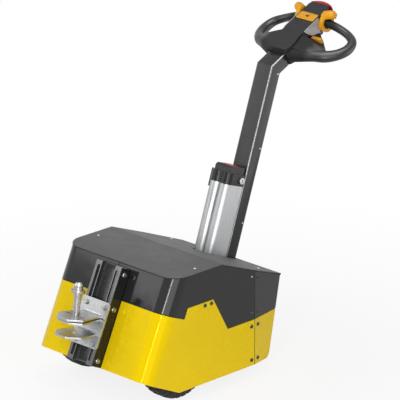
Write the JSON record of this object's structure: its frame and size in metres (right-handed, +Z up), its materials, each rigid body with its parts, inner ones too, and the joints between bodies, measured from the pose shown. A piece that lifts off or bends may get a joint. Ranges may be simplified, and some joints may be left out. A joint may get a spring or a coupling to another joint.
{
  "type": "electric tow tractor",
  "caption": "Pedestrian electric tow tractor with folded covers, a slotted hitch column with pin jaw, drive wheels, swivel castors and a cranked tiller with loop handle.",
  "frame": {"origin": "on the floor, below the middle of the machine's box", "axes": "-Y towards the hitch, +Y towards the tiller head, +Z up"},
  "size_m": [0.484, 1.1638, 1.0346],
  "materials": {
    "frame_paint": "satin dark paint",
    "motor_paint": "satin dark grey paint",
    "column_paint": "satin powder coat",
    "zinc": "bright zinc plating",
    "bolt_steel": "polished steel",
    "lid_paint": "satin powder coat",
    "grey_paint": "gloss dark grey paint",
    "yellow_paint": "gloss yellow paint",
    "arm_paint": "satin powder coat",
    "head_plastic": "fine moulded grain",
    "black_plastic": "satin moulding",
    "pale_plastic": "fine moulded grain",
    "control_plastic": "satin moulding",
    "red_plastic": "gloss moulding",
    "battery_metal": "brushed and clear anodised",
    "tyre_rubber": "matt rubber",
    "rim_metal": "cast and machined",
    "castor_rubber": "matt elastic rubber"
  },
  "bodies": {
    "machine": {"chassis_frame": "frame_paint", "transaxle": "frame_paint", "battery_dock": "frame_paint", "drive_motor": "motor_paint", "hitch_column": "column_paint", "hitch_bracket": "zinc", "castor_base_left": "zinc", "castor_base_right": "zinc", "hitch_bolts": "bolt_steel", "key_lock": "bolt_steel", "lid": "lid_paint", "upper_cover_left": "grey_paint", "upper_cover_right": "grey_paint", "rear_cover_upper": "grey_paint", "skirt_left": "yellow_paint", "skirt_right": "yellow_paint", "rear_cover_lower": "yellow_paint", "tiller_arm": "arm_paint", "head_cover": "head_plastic", "handle_body": "black_plastic", "loop_left": "black_plastic", "loop_right": "black_plastic", "battery_cap": "black_plastic", "battery_latch": "black_plastic", "head_cheeks": "pale_plastic", "paddle_left": "control_plastic", "paddle_right": "control_plastic", "horn_button": "control_plastic", "side_buttons": "control_plastic", "belly_button": "red_plastic", "battery_window": "red_plastic", "battery_case": "battery_metal"},
    "drive_wheel_left": {"tyre_left": "tyre_rubber", "rim_left": "rim_metal"},
    "drive_wheel_right": {"tyre_right": "tyre_rubber", "rim_right": "rim_metal"},
    "castor_left": {"castor_fork_left": "zinc"},
    "castor_right": {"castor_fork_right": "zinc"},
    "roller_left": {"castor_wheel_left": "castor_rubber"},
    "roller_right": {"castor_wheel_right": "castor_rubber"},
    "tow_pin": {"hitch_pin": "bolt_steel"}
  },
  "joints": [
    {"name": "drive_left", "type": "hinge", "parent": "machine", "child": "drive_wheel_left", "pos_m": [-0.184, -0.27817, 0.13], "axis": [1, 0, 0], "continuous": true},
    {"name": "swivel_left", "type": "hinge", "parent": "machine", "child": "castor_left", "pos_m": [-0.12, -0.02217, 0.12], "axis": [0, 0, 1], "continuous": true},
    {"name": "roll_left", "type": "hinge", "parent": "castor_left", "child": "roller_left", "pos_m": [-0.12, 0.00583, 0.05], "axis": [1, 0, 0], "continuous": true},
    {"name": "drive_right", "type": "hinge", "parent": "machine", "child": "drive_wheel_right", "pos_m": [0.184, -0.27817, 0.13], "axis": [1, 0, 0], "continuous": true},
    {"name": "swivel_right", "type": "hinge", "parent": "machine", "child": "castor_right", "pos_m": [0.12, -0.02217, 0.12], "axis": [0, 0, 1], "continuous": true},
    {"name": "roll_right", "type": "hinge", "parent": "castor_right", "child": "roller_right", "pos_m": [0.12, 0.00583, 0.05], "axis": [1, 0, 0], "continuous": true},
    {"name": "pin_slide", "type": "slide", "parent": "machine", "child": "tow_pin", "axis": [0, 0.1392, 0.9903], "range_m": [-0.07, 0]}
  ]
}
